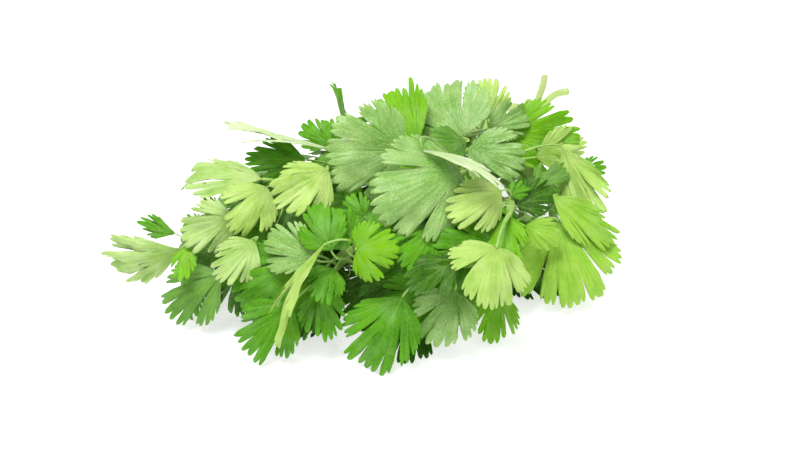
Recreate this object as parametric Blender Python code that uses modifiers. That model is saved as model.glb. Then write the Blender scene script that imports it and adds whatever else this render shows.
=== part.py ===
"""A loose bunch of coriander that lies on a table: leaves to the front and left, cut stems to the back.

Tables are in millimetres, the scene is in metres, +Z is up, the front is -Y and the table is z = 0.
Each leaflet is one thin blade: a fan of rays from its base, bent along its midrib and across it.
Each sprig is one solid: a cut stem that divides into the petioles of its leaflets.
"""

import itertools
import math
import random

import bmesh
import bpy
import numpy as np
from mathutils import Vector
from mathutils.bvhtree import BVHTree

MM = 0.001

# Driving sizes, millimetres
BLADE_THICKNESS = 0.5
BLADE_START = 1.2  # the blade begins this far past the end of its petiole
BLADE_GAP = 1.1  # least distance between the middles of two blades
TABLE_GAP = 0.25  # the middle of a blade stays this far above the table
CUT_RADIUS = 1.8
NODE_RADIUS = 1.15
PETIOLE_RADIUS = 0.65
TUBE_GAP = 0.4  # least air round a stem
POINT_SPACING = 10.0  # along a stem
FIRST_BRANCH = 1.3  # the last petiole leaves this far inside the stem's end
BRANCH_SPACING = 5.0  # between the petioles of one stem
PETIOLE_OVERRUN = 0.3  # a petiole ends this far past its leaflet's base point
LOWEST_PETIOLE = 0.2  # height of its middle above the table
BULGES = (0, 0.15, 0.3, 0.45, 0.6, 0.8, 1.1)  # sideways detours that a petiole may make, in spans
PULLS = (0.3, 0.15, 0.5)  # how far it keeps its first and last direction, in spans
PETIOLE_POINTS = 8
HEADING_SPAN = 3.0  # a stem's direction is measured over this length
OWN_BLADE_POINTS = 5  # the last points of a petiole may come near the blade it feeds
FINE_POINTS = 25  # where its room is measured
STEM_SIDES_LEVEL = 2
PETIOLE_SIDES_LEVEL = 1

RAYS = 10  # across a blade
RINGS = 4  # along a blade
NOTCH_DEPTH = 0.15  # how far the coarse outline dips between its three lobes
SIDE_LOSS = 0.32  # how much shorter the outermost ray is than the middle one
MIDDLE_REACH = 0.98  # length of the middle ray against the leaflet's
CURL_START = 0.45  # share of a lobe that stays flat
CURL_GROWTH = 2.0
MOST_CURL = 0.10  # a lobe's rise or droop, drawn for each lobe
WAVE_HEIGHTS = (0.012, 0.030)  # of the waves across a blade, against its length
WAVE_TURNS = (2.0, 3.2)
BEND_SHARE = 0.45  # width of the bend beside the midrib, against the length
SHARPEST_FOLD = 1.9  # radians: a fold this sharp would have no bend beside the midrib
NO_ANGLE = 1e-6  # keeps an arc's radius finite
LIFT_STEP = 0.5
MOST_LIFT = 30.0

FRONT = np.array([0.0, -0.82, 0.57])  # most blades turn their upper face to the front and up
UP = np.array([0.0, 0.0, 1.0])

COLOURS = {
    "mid": (0.16, 0.42, 0.06),
    "bright": (0.22, 0.55, 0.05),
    "lime": (0.42, 0.68, 0.14),
    "pale": (0.50, 0.72, 0.28),
    "sheen": (0.24, 0.50, 0.14),
    "dull": (0.22, 0.42, 0.14),
    "dark": (0.06, 0.22, 0.03),
    "stem": (0.30, 0.50, 0.12),
}


class Leaf:
    """A leaflet's place and bends. Its petiole ends at base, and its middle lobe ends at tip."""

    def __init__(self, name, base, tip, spread, roll, bow, folds, colour, face=FRONT):
        self.name = name
        self.base = np.array(base, float)
        self.axis = np.array(tip, float) - self.base
        self.length = float(np.linalg.norm(self.axis))
        self.axis /= self.length
        self.spread = math.radians(spread)
        self.bow = bow
        self.folds = [math.radians(fold) for fold in folds]
        self.colour = colour
        normal = face - self.axis * face.dot(self.axis)
        normal /= np.linalg.norm(normal)
        side = np.cross(self.axis, normal)
        turn = math.radians(roll)
        self.normal = normal * math.cos(turn) + side * math.sin(turn)
        self.side = side * math.cos(turn) - normal * math.sin(turn)
        self.lift = face
        lively = bow > 0  # a blade without a bow is pressed flat on the table
        draw = random.Random(name)
        self.lobe_curl = [draw.uniform(-MOST_CURL, MOST_CURL) * lively for _ in range(3)]
        height = draw.uniform(*WAVE_HEIGHTS) * lively
        self.wave = (height, draw.uniform(*WAVE_TURNS), draw.uniform(0, math.tau))

    def outline(self, across):
        """Radius of the coarse outline, for across from -1 to 1: three lobes, the outer two shorter."""
        lobed = 1 - NOTCH_DEPTH * (0.5 + 0.5 * np.cos(3 * math.pi * (across + 1)))
        return self.length * (MIDDLE_REACH - SIDE_LOSS * np.abs(across) ** 3) * lobed

    def place(self, radius, across):
        """World points of flat polar points: radius from the base, across from -1 to 1 over the spread."""
        size = self.length
        reach = radius / size
        along = radius * np.cos(across * self.spread)
        sideways = radius * np.sin(across * self.spread)
        rise = np.choose(np.clip((across + 1) * 1.5, 0, 2).astype(int), self.lobe_curl)
        rise = rise * CURL_GROWTH * size * np.maximum(reach - CURL_START, 0) ** 2
        height, turns, phase = self.wave
        rise = rise + height * size * reach**2 * np.sin(across * turns * math.pi + phase)
        # Each side of the midrib bends round an arc, then runs straight
        fold = np.where(sideways < 0, self.folds[0], self.folds[1]) + NO_ANGLE
        bend_width = size * BEND_SHARE * (1 - np.abs(fold) / SHARPEST_FOLD)
        width = np.abs(sideways)
        angle = fold * np.minimum(width, bend_width) / bend_width
        straight = np.maximum(width - bend_width, 0)
        out = bend_width / fold * np.sin(angle) + straight * np.cos(fold) + rise * np.sin(angle)
        down = bend_width / fold * (1 - np.cos(angle)) + straight * np.sin(fold) - rise * np.cos(angle)
        out = out * np.sign(sideways)
        # The midrib is an arc whose ends are base and tip
        half_angle = 2 * math.atan(2 * self.bow) + NO_ANGLE
        arc_radius = size / 2 / math.sin(half_angle)
        turn = (2 * along / size - 1) * half_angle
        forward = size / 2 + (arc_radius - down) * np.sin(turn)
        high = (arc_radius - down) * np.cos(turn) - arc_radius * math.cos(half_angle)
        points = self.base + np.multiply.outer(forward, self.axis)
        points = points + np.multiply.outer(out, self.side) + np.multiply.outer(high, self.normal)
        points[..., 2] = np.maximum(points[..., 2], TABLE_GAP)
        return points

    def grid(self):
        """Points of the coarse blade, [ring, ray]."""
        across = np.linspace(-1, 1, RAYS)
        share = np.linspace(0, 1, RINGS)[:, None]
        radius = BLADE_START + (self.outline(across) - BLADE_START) * share
        return self.place(radius, np.broadcast_to(across, radius.shape))


# Each leaflet: name, base and tip, half of its spread in degrees, roll round its axis in degrees, bow of
# its midrib against its length, fold of each side in degrees, colour and, if not FRONT, its facing
LEAVES = [
    Leaf("leaf_bed_left", (-24, -12, 0.25), (-60, -34, 0.25), 59, 0, 0, (0, 0), "dark", UP),
    Leaf("leaf_bed_front", (5, -21, 0.25), (1, -57, 0.25), 61, 0, 0, (0, 0), "dark", UP),
    Leaf("leaf_bed_right", (44, 8, 0.25), (70, -14, 0.25), 59, 0, 0, (0, 0), "dark", UP),
    Leaf("leaf_back_spike", (-24, 33, 53), (-29, 57, 60), 24, 78, 0.05, (5, 5), "mid"),
    Leaf("leaf_left_back_shade", (-39, 7, 53), (-64, 8, 52), 41, 10, 0.08, (15, 10), "mid"),
    Leaf("leaf_left_back_edge", (-28, 6, 58), (-72, 13, 62), 22, 80, 0.04, (10, 10), "pale"),
    Leaf("leaf_left_inner", (-71, -27, 32), (-92, -16, 29), 56, 0, 0.08, (15, 15), "dull"),
    Leaf("leaf_left_pale", (-67, -23, 45), (-87, -27, 40), 58, -10, 0.10, (15, 15), "pale"),
    Leaf("leaf_left_top_pale", (-56, -9, 54), (-91, -1, 49), 34, 48, 0.06, (20, 20), "pale"),
    Leaf("leaf_left_top_hanging", (-54, -13, 53), (-67, -34, 46), 50, -10, 0.10, (10, 20), "lime"),
    Leaf("leaf_left_top_long", (-29, -11, 60), (-48, -30, 55), 51, 0, 0.08, (10, 25), "lime"),
    Leaf("leaf_far_left", (-89, -24, 30), (-125, -8, 10), 25, -34, 0.05, (10, 55), "pale"),
    Leaf("leaf_left_front", (-72, -36, 26), (-97, -34, 7), 48, 0, 0.08, (10, 15), "mid"),
    Leaf("leaf_middle_left_sheen", (-34, -45, 40), (-54, -35, 46), 51, 0, 0.08, (10, 15), "sheen"),
    Leaf("leaf_middle_left_upper", (-27, -42, 42), (-35, -27, 53), 54, 0, 0.08, (15, 10), "mid"),
    Leaf("leaf_middle_left_shade", (-37, -36, 34), (-64, -46, 17), 62, 0, 0.14, (10, 20), "mid"),
    Leaf("leaf_front_left_low", (-35, -42, 23), (-43, -52, 7), 41, 0, 0.10, (10, 10), "dark"),
    Leaf("leaf_front_left_lobed", (-33, -47, 28), (-28, -58, 12), 51, 0, 0.12, (10, 15), "mid"),
    Leaf("leaf_front_left_long", (-43, -53, 24), (-62, -58, 2), 50, 0, 0.10, (10, 15), "mid"),
    Leaf("leaf_front_left_rolled", (-30, -46, 48), (-51, -66, 15), 16, 62, 0.05, (5, 5), "pale"),
    Leaf("leaf_middle_low", (-26, -46, 36), (-33, -58, 30), 60, 0, 0.10, (15, 10), "mid"),
    Leaf("leaf_middle_upper", (-21, -44, 44), (-29, -31, 55), 54, 0, 0.08, (15, 10), "mid"),
    Leaf("leaf_middle_bright", (-17, -48, 47), (0, -49, 48), 98, 0, 0.08, (10, 15), "bright"),
    Leaf("leaf_centre_left", (3, -30, 46), (-9, -39, 46), 49, 0, 0.08, (10, 15), "mid"),
    Leaf("leaf_centre", (14, -31, 46), (1, -50, 41), 51, 0, 0.08, (10, 15), "mid"),
    Leaf("leaf_centre_right", (38, -32, 38), (15, -41, 46), 39, 0, 0.08, (10, 15), "mid"),
    Leaf("leaf_centre_shade", (22, -41, 36), (5, -56, 34), 46, 20, 0.08, (10, 15), "dark"),
    Leaf("leaf_front_centre", (1, -51, 26), (-13, -65, 2), 52, 0, 0.14, (10, 15), "mid"),
    Leaf("leaf_front_right_sheen", (22, -47, 26), (13, -61, 9), 63, 0, 0.12, (10, 15), "sheen"),
    Leaf("leaf_front_right_low", (40, -41, 22), (36, -50, 3), 49, 0, 0.10, (10, 15), "bright"),
    Leaf("leaf_right_front_fan", (66, -6, 31), (71, -34, 5), 64, 0, 0.12, (10, 15), "bright"),
    Leaf("leaf_right_front_narrow", (63, 3, 38), (87, -12, 24), 27, 0, 0.10, (10, 15), "bright"),
    Leaf("leaf_right_long", (70, 33, 42), (83, -4, 27), 28, 30, 0.08, (10, 15), "lime"),
    Leaf("leaf_right_back", (59, 40, 33), (82, 45, 37), 44, 10, 0.06, (10, 10), "lime"),
    Leaf("leaf_right_inner_shade", (48, -9, 41), (64, 3, 41), 46, 0, 0.08, (10, 10), "dark"),
    Leaf("leaf_right_curled", (51, -19, 38), (66, -22, 33), 44, 0, 0.12, (10, 10), "bright"),
    Leaf("leaf_right_inner_lime", (41, -13, 51), (21, -31, 50), 44, 0, 0.10, (10, 10), "lime"),
    Leaf("leaf_right_inner_bright", (43, -21, 44), (44, -41, 35), 41, 20, 0.10, (10, 10), "bright"),
    Leaf("leaf_back_right_broad", (47, 50, 38), (77, 48, 39), 60, 0, 0.08, (10, 10), "bright"),
    Leaf("leaf_top_right", (29, 18, 52), (51, 7, 48), 59, 0, 0.08, (10, 10), "sheen"),
    Leaf("leaf_top_right_dull", (28, 21, 53), (9, 7, 55), 44, 0, 0.08, (10, 10), "dull"),
    Leaf("leaf_top_bright", (8, 22, 51), (-5, 52, 59), 35, 0, 0.08, (10, 10), "bright"),
    Leaf("leaf_top_fan", (27, 28, 51), (11, 56, 59), 72, 0, 0.08, (10, 10), "sheen"),
    Leaf("leaf_back_right_lime", (38, 50, 46), (38, 64, 60), 60, 0, 0.08, (10, 10), "lime"),
    Leaf("leaf_top_left_broad", (2, 3, 60), (-31, -3, 61), 84, 0, 0.08, (15, 15), "sheen"),
    Leaf("leaf_top_front_broad", (24, -11, 60), (-8, -32, 55), 62, 0, 0.10, (15, 15), "sheen"),
    Leaf("leaf_top_folded", (9, -5, 65), (40, -15, 57), 24, -74, 0.05, (5, 5), "pale"),
    Leaf("leaf_front_lime", (38, -40, 42), (32, -63, 30), 90, 0, 0.10, (36, 12), "lime"),
]

# Each sprig: its name, its stem's route from the cut end to the last leaf node, and its leaflets
SPRIGS = [
    ("sprig_far_left", [(39.5, 130, 1.9), (27.5, 90, 1.6), (-6, 45, 8), (-42, 6, 18), (-66, -20, 26)],
     ["leaf_far_left", "leaf_left_front", "leaf_left_inner"]),
    ("sprig_left_front", [(45, 134, 2.2), (33, 90, 1.6), (8, 40, 6), (-15, 0, 15), (-28, -30, 22)],
     ["leaf_front_left_long", "leaf_front_left_low", "leaf_middle_left_shade", "leaf_front_left_rolled",
      "leaf_bed_left"]),
    ("sprig_front", [(50, 129, 1.8), (38, 90, 1.6), (28, 45, 7), (22, 5, 14), (16, -32, 24)],
     ["leaf_front_centre", "leaf_front_right_sheen", "leaf_centre_shade", "leaf_centre", "leaf_bed_front"]),
    ("sprig_front_right",
     [(55.5, 133, 2.4), (43.5, 90, 1.6), (41, 50, 10), (44, 14, 28), (46, -6, 41), (45, -20, 47)],
     ["leaf_front_lime", "leaf_front_right_low", "leaf_centre_right", "leaf_right_inner_bright",
      "leaf_right_inner_lime"]),
    ("sprig_right", [(60, 130, 2), (48.5, 90, 1.6), (48, 55, 8), (52, 20, 20), (54, -2, 28)],
     ["leaf_right_front_fan", "leaf_right_front_narrow", "leaf_right_curled", "leaf_right_inner_shade",
      "leaf_bed_right"]),
    ("sprig_right_back",
     [(82, 139, 7), (74, 136, 6), (64, 120, 3), (53.5, 90, 2), (50, 66, 14), (48, 45, 28), (46, 34, 36)],
     ["leaf_right_long", "leaf_right_back", "leaf_back_right_broad", "leaf_back_right_lime",
      "leaf_top_right"]),
    ("sprig_left_top", [(41.5, 127, 8), (30, 90, 7), (0, 52, 20), (-28, 20, 36), (-46, 0, 46)],
     ["leaf_left_top_pale", "leaf_left_pale", "leaf_left_back_edge"]),
    ("sprig_left_upper", [(46.5, 131, 8), (35.2, 90, 7.2), (12, 54, 23), (-12, 24, 41), (-28, 4, 50)],
     ["leaf_left_top_long", "leaf_left_top_hanging", "leaf_left_back_shade"]),
    ("sprig_middle_left", [(51, 126, 8), (39.5, 90, 7), (19, 45, 15), (-2, 4, 24), (-20, -30, 34)],
     ["leaf_front_left_lobed", "leaf_middle_left_sheen", "leaf_middle_left_upper", "leaf_middle_low"]),
    ("sprig_middle", [(56, 124, 8), (45.5, 90, 7), (32, 48, 19), (16, 8, 30), (2, -20, 37)],
     ["leaf_middle_bright", "leaf_middle_upper", "leaf_centre_left"]),
    ("sprig_top", [(62, 128, 8), (50.5, 90, 7.5), (42, 56, 24), (30, 20, 40), (19, 0, 49)],
     ["leaf_top_front_broad", "leaf_top_left_broad", "leaf_top_folded"]),
    ("sprig_top_back",
     [(71, 151, 8), (68, 136, 8), (55.5, 92, 7.5), (40, 68, 28), (28, 44, 42), (19, 30, 48)],
     ["leaf_top_fan", "leaf_top_bright", "leaf_top_right_dull", "leaf_back_spike"]),
]


def clear_scene():
    for old in list(bpy.data.objects):
        bpy.data.objects.remove(old, do_unlink=True)


def new_collection(name):
    made = bpy.data.collections.new(name)
    bpy.context.scene.collection.children.link(made)
    return made


def material(name):
    """The material of this colour, made once."""
    if name in bpy.data.materials:
        return bpy.data.materials[name]
    made = bpy.data.materials.new(name)
    made.use_nodes = True
    shader = made.node_tree.nodes["Principled BSDF"]
    shader.inputs["Base Color"].default_value = (*COLOURS[name], 1)
    shader.inputs["Roughness"].default_value = 0.5
    shader.inputs["Metallic"].default_value = 0.0
    return made


def blade_faces():
    """Corner numbers of the quads of a blade's grid."""
    return [
        (ring * RAYS + ray, ring * RAYS + ray + 1, (ring + 1) * RAYS + ray + 1, (ring + 1) * RAYS + ray)
        for ring in range(RINGS - 1)
        for ray in range(RAYS - 1)
    ]


def surface_tree(points):
    return BVHTree.FromPolygons(points.reshape(-1, 3).tolist(), blade_faces())


def clearance(points, trees, reach):
    """Least distance from the points to any of the surfaces, or reach if none is that near."""
    least = reach
    for tree in trees:
        for point in points:
            distance = tree.find_nearest(Vector(point), least)[3]
            if distance is not None:
                least = min(least, distance)
    return least


def samples(points):
    """A blade's grid points and the middles of its quads and of their edges."""
    across = (points[:, 1:] + points[:, :-1]) / 2
    along = (points[1:] + points[:-1]) / 2
    middles = (along[:, 1:] + along[:, :-1]) / 2
    return np.concatenate([part.reshape(-1, 3) for part in (points, across, along, middles)])


def collides(points, tree, placed):
    """Whether a blade crosses a placed one, or comes nearer to it than BLADE_GAP."""
    own = samples(points)
    low, high = own.min(axis=0) - BLADE_GAP, own.max(axis=0) + BLADE_GAP
    for other_points, other_tree in placed:
        near = other_points[((other_points > low) & (other_points < high)).all(axis=1)]
        if not len(near):
            continue
        if tree.overlap(other_tree) or clearance(own, [other_tree], BLADE_GAP) < BLADE_GAP:
            return True
        if clearance(near, [tree], BLADE_GAP) < BLADE_GAP:
            return True
    return False


def settle(leaves):
    """Lifts each blade off those below it and gives the surfaces of all the blades."""
    placed = {}
    for leaf in leaves:
        start = leaf.base.copy()
        for step in range(int(MOST_LIFT / LIFT_STEP)):
            leaf.base = start + leaf.lift * step * LIFT_STEP
            points = leaf.grid()
            tree = surface_tree(points)
            if not collides(points, tree, placed.values()):
                break
        placed[leaf.name] = (samples(points), tree)
    return {name: tree for name, (_, tree) in placed.items()}


def make_blade(leaf, collection):
    """The blade as a bent grid with Solidify."""
    mesh = bpy.data.meshes.new(leaf.name)
    sheet = bmesh.new()
    bmesh.ops.create_grid(sheet, x_segments=RAYS - 1, y_segments=RINGS - 1, size=1)
    points = leaf.grid()
    for vertex in sheet.verts:
        ray = round((vertex.co.x + 1) / 2 * (RAYS - 1))
        ring = round((vertex.co.y + 1) / 2 * (RINGS - 1))
        vertex.co = points[ring, ray] * MM
    sheet.to_mesh(mesh)
    sheet.free()
    mesh.shade_smooth()
    mesh.materials.append(material(leaf.colour))
    blade = bpy.data.objects.new(leaf.name, mesh)
    collection.objects.link(blade)
    thicken = blade.modifiers.new("thickness", "SOLIDIFY")
    thicken.thickness = BLADE_THICKNESS * MM
    thicken.offset = 0


def smooth_route(stops):
    """Points about POINT_SPACING apart on a Catmull-Rom curve through the stops."""
    stops = np.array(stops, float)
    padded = np.vstack([2 * stops[0] - stops[1], stops, 2 * stops[-1] - stops[-2]])
    route = []
    for a, b, c, d in zip(padded, padded[1:], padded[2:], padded[3:]):
        count = max(2, round(np.linalg.norm(c - b) / POINT_SPACING))
        for t in np.arange(count) / count:
            route.append(0.5 * (2 * b + (c - a) * t + (2 * a - 5 * b + 4 * c - d) * t**2
                                + (3 * b - a - 3 * c + d) * t**3))
    return np.array(route + [stops[-1]])


def bezier(start, start_pull, end_pull, end, count):
    t = np.linspace(0, 1, count)[:, None]
    s = 1 - t
    return s**3 * start + 3 * s**2 * t * start_pull + 3 * s * t**2 * end_pull + t**3 * end


def petiole_air(points, leaf, trees, tubes):
    """How much more room a petiole has than it needs: negative if it comes too near a blade or a stem."""
    need = PETIOLE_RADIUS + BLADE_THICKNESS / 2 + TUBE_GAP
    others = [tree for name, tree in trees.items() if name != leaf.name]
    air = clearance(points, others, need) - need
    air = min(air, clearance(points[:-OWN_BLADE_POINTS], [trees[leaf.name]], need) - need)
    for middles, radii in tubes:
        gaps = np.linalg.norm(points[:, None] - middles[None], axis=2) - radii[None]
        air = min(air, gaps.min() - PETIOLE_RADIUS - TUBE_GAP)
    return air


def petiole_route(start, heading, leaf, trees, tubes):
    """The straightest curve from the stem to the leaflet's base that clears the blades and other sprigs."""
    end = leaf.base + leaf.axis * PETIOLE_OVERRUN
    span = float(np.linalg.norm(end - start))
    sidestep = np.cross(heading, UP)
    ways = (-UP, UP, sidestep, -sidestep, -leaf.normal, leaf.normal, -FRONT)
    best, best_air = None, -math.inf
    for bulge, way, pull in itertools.product(BULGES, ways, PULLS):
        pulled_start = start + (heading * pull + way * bulge) * span
        pulled_end = end + (way * bulge - leaf.axis * pull) * span
        fine = bezier(start, pulled_start, pulled_end, end, FINE_POINTS)
        if fine[:, 2].min() < LOWEST_PETIOLE:
            continue
        air = petiole_air(fine[2:], leaf, trees, tubes)
        if air > best_air:
            best, best_air = bezier(start, pulled_start, pulled_end, end, PETIOLE_POINTS), air
        if air >= 0:
            break
    return best


def make_tube(name, route, radii, sides_level, collection):
    """A round tube with filled caps, as a welded mesh."""
    curve = bpy.data.curves.new(name, "CURVE")
    curve.dimensions = "3D"
    curve.bevel_depth = MM
    curve.bevel_resolution = sides_level
    curve.use_fill_caps = True
    spline = curve.splines.new("POLY")
    spline.points.add(len(route) - 1)
    for point, place, radius in zip(spline.points, route, radii):
        point.co = (*(place * MM), 1)
        point.radius = radius
    guide = bpy.data.objects.new(name, curve)
    collection.objects.link(guide)
    evaluated = guide.evaluated_get(bpy.context.evaluated_depsgraph_get())
    mesh = bpy.data.meshes.new_from_object(evaluated)
    place = guide.matrix_world.copy()
    bpy.data.objects.remove(guide, do_unlink=True)
    weld = bmesh.new()
    weld.from_mesh(mesh)
    bmesh.ops.remove_doubles(weld, verts=weld.verts, dist=1e-6)
    for vertex in weld.verts:
        vertex.co.z = max(vertex.co.z, 0)
    weld.to_mesh(mesh)
    weld.free()
    mesh.shade_smooth()
    tube = bpy.data.objects.new(name, mesh)
    tube.matrix_world = place
    collection.objects.link(tube)
    return tube


def dense(route, radii, spacing=1.0):
    """The route's points and radii about 1 mm apart, for distances."""
    steps = np.concatenate([[0], np.cumsum(np.linalg.norm(np.diff(route, axis=0), axis=1))])
    at = np.linspace(0, steps[-1], int(steps[-1] / spacing) + 2)
    return np.stack([np.interp(at, steps, route[:, i]) for i in range(3)], 1), np.interp(at, steps, radii)


def point_back(route, distance):
    """The point this far back from the end of the route, and the way the route runs there."""
    steps = np.linalg.norm(np.diff(route[::-1], axis=0), axis=1)
    from_end = np.concatenate([[0], np.cumsum(steps)])
    place, behind = (
        np.array([np.interp(at, from_end, route[::-1, i]) for i in range(3)])
        for at in (distance, distance + HEADING_SPAN)
    )
    return place, (place - behind) / np.linalg.norm(place - behind)


def make_sprigs(trees, plants, joined):
    leaf_of = {leaf.name: leaf for leaf in LEAVES}
    stems = {name: smooth_route(stops) for name, stops, _ in SPRIGS}
    radii = {name: np.linspace(CUT_RADIUS, NODE_RADIUS, len(route)) for name, route in stems.items()}
    tubes = {name: [dense(route, radii[name])] for name, route in stems.items()}
    for name, _, fed in SPRIGS:
        stem = make_tube(name, stems[name], radii[name], STEM_SIDES_LEVEL, plants)
        stem.data.materials.append(material("stem"))
        others = [tube for other, made in tubes.items() if other != name for tube in made]
        for order, leaf_name in enumerate(fed):
            start, heading = point_back(stems[name], FIRST_BRANCH + order * BRANCH_SPACING)
            way = petiole_route(start, heading, leaf_of[leaf_name], trees, others)
            thin = np.full(len(way), PETIOLE_RADIUS)
            tubes[name].append(dense(way, thin))
            petiole = make_tube("petiole_of_" + leaf_name, way, thin, PETIOLE_SIDES_LEVEL, joined)
            petiole.hide_render = True
            petiole.display_type = "WIRE"
            union = stem.modifiers.new(leaf_name, "BOOLEAN")
            union.operation = "UNION"
            union.object = petiole


def centre_on_table():
    """Hangs everything on one empty, and moves it so that the origin is under the middle of the bunch."""
    holder = bpy.data.objects.new("bunch_centre", None)
    bpy.context.scene.collection.objects.link(holder)
    pieces = [piece for piece in bpy.data.objects if piece.type == "MESH"]
    for piece in pieces:
        piece.parent = holder
    bpy.context.view_layer.update()
    graph = bpy.context.evaluated_depsgraph_get()
    corners = [
        piece.evaluated_get(graph).matrix_world @ Vector(corner)
        for piece in pieces
        if not piece.hide_render
        for corner in piece.evaluated_get(graph).bound_box
    ]
    low, high = np.min(corners, axis=0), np.max(corners, axis=0)
    holder.location = (-(low[0] + high[0]) / 2, -(low[1] + high[1]) / 2, -low[2])


def main():
    clear_scene()
    plants = new_collection("coriander_bunch")
    joined = new_collection("joined_petioles")
    trees = settle(LEAVES)
    for leaf in LEAVES:
        make_blade(leaf, plants)
    make_sprigs(trees, plants, joined)
    centre_on_table()


main()
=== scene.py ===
"""Looks of the coriander bunch: toothed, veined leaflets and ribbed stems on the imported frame.

Tables are in millimetres, the scene is in metres. The bunch is laid out as its CAD solids are,
blade by blade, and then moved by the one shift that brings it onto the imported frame.
"""

import itertools
import math
import random

import bpy
import numpy as np
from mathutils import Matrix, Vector
from mathutils.bvhtree import BVHTree


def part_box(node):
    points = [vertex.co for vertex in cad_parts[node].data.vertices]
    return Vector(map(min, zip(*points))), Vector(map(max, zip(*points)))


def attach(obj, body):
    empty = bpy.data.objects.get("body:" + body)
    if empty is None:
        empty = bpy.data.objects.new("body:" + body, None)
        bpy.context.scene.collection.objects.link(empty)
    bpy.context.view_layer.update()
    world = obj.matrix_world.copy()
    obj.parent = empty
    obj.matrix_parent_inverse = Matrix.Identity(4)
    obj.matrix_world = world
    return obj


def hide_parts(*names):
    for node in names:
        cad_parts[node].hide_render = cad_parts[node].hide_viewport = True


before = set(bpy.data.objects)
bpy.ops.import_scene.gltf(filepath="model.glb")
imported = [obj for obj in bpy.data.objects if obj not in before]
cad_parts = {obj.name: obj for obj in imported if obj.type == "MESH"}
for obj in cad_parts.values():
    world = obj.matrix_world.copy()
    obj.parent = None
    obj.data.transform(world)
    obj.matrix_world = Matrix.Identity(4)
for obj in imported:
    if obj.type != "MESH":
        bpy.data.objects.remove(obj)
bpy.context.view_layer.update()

MM = 0.001
FRONT = np.array([0.0, -0.82, 0.57])  # most blades turn their upper face to the front and up
UP = np.array([0.0, 0.0, 1.0])

# Lengths are in mm, and reaches, cuts and starts are shares of a blade's length.
# The layout, as for the CAD solids:
SOLID_THICKNESS = 0.5
COARSE_RAYS = 10
COARSE_RINGS = 4
COARSE_START = 1.2
COARSE_REACH = 0.98
NOTCH_DEPTH = 0.15
SIDE_LOSS = 0.32
COARSE_CURL = 0.10
CURL_START = 0.45
WAVE_HEIGHTS = (0.012, 0.030)
WAVE_TURNS = (2.0, 3.2)
BEND_WIDTH = 0.45
SHARPEST_FOLD = 1.9
NO_BEND = 1e-6  # keeps a flat blade's arcs from dividing by nothing
TABLE_GAP = 0.25
BLADE_GAP = 1.1
FILLER_GAP = 0.4
LIFT_STEP = 0.5
LIFT_STEPS = 60  # at most
CUT_RADIUS = 1.8
NODE_RADIUS = 1.15
PETIOLE_RADIUS = 0.65
TUBE_GAP = 0.4
POINT_SPACING = 10.0
FIRST_BRANCH = 1.3
BRANCH_SPACING = 5.0
PETIOLE_OVERRUN = 0.3
LOWEST_PETIOLE = 0.2
BULGES = (0, 0.15, 0.3, 0.45, 0.6, 0.8, 1.1)
PULLS = (0.3, 0.15, 0.5)
FINE_POINTS = 25
STEM_STEP = 2.0
PETIOLE_PROFILE = ((0, 0.12, 0.5, 1), (1.5, 1.08, 0.95, 0.75))  # share of its length, thickness there

# The leaflets that only the scene has
FILLER_STEPS = 24
FILLER_BULGES = (0, 0.2, 0.45)
FILLER_PULLS = (0.3,)
FILLER_PETIOLE = 0.8
LOWEST_FILLER = 1.5
STEM_GAP = 1.6
GOLDEN_ANGLE = 2.39996
FILLER_SEED = 11
MOUND_CENTRE = np.array([-14.0, 8.0, 0.0])
MOUND_SIZE = np.array([108.0, 84.0, 64.0])
ROOT = np.array([36.0, 60.0, 4.0])
# Each shell: leaflets tried, size against the whole mound, lowest height, tones, and which way
# they move to find room
SHELLS = [
    # The darkest tone in these shells is painted shade, filling the shaded inside of the bunch
    (60, 0.80, 0.10, ("mid", "dark", "mid", "dull", "bright"), -1),
    (90, 0.66, 0.10, ("dark", "mid", "dark", "dull"), -1),
    (80, 0.52, 0.10, ("dark",), -1),
    (60, 0.88, 0.15, ("mid", "dull", "mid", "sheen", "dark"), 1),
]
REAR_SHELL = 3
REAR_START = 0.15
SHELL_TOP = 0.97
SHELL_JITTER = (0.94, 1.06)
SHELL_TILT = ((-0.3, 0.3), (-0.3, 0.3), (-0.1, 0.3))
SHELL_SWERVE = (-0.8, 0.8)
SHELL_LENGTHS = (21, 31)
SHELL_SPREADS = (48, 66)
SHELL_BOWS = (0.06, 0.14)
SHELL_FOLDS = (5, 20)
BED_LEAVES = 90
BED_CENTRE = np.array([-4.0, 4.0, 0.0])
BED_SIZE = np.array([88.0, 62.0, 0.0])
BED_HEIGHTS = (2, 6)
BED_RISE = 2
BED_SWERVE = (-0.5, 0.5)
BED_TILT = ((-0.2, 0.2), (-0.3, 0.1))
BED_LENGTHS = (22, 30)
BED_SPREADS = (50, 64)
BRANCH_PLACES = range(2, 46, 4)  # mm back from the end of a stem
AHEAD_PULL = 6

# The camera, and the bunch's edges as it sees them, mm across and up from the point it looks at
ELEVATION = math.radians(35)
EYE_WAY = np.array([0.0, -math.cos(ELEVATION), math.sin(ELEVATION)])
EYE_DISTANCE = 793.3
LOOK_HEIGHT = 25.0
EDGE_MARGIN = 2.0
NO_EDGE = 99
TOP_EDGE = np.array([
    (-118, -12), (-100, -6), (-86, 4), (-78, 13), (-70, 22), (-50, 30), (-42, 33), (-29, 44),
    (-20, 52), (0, 57), (34, 58), (59, 50), (71, 42), (84, 24), (90, -10),
], float)
LOW_EDGE = np.array([
    (-120, -16), (-92, -38), (-66, -50), (-40, -50), (-20, -57), (10, -53), (50, -40),
    (66, -38), (86, -20), (90, -10),
], float)

# The fine blade; pairs are ranges to draw from
TOOTH_WIDTH = 2.9
TOOTHED_RADIUS = 0.8
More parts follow.
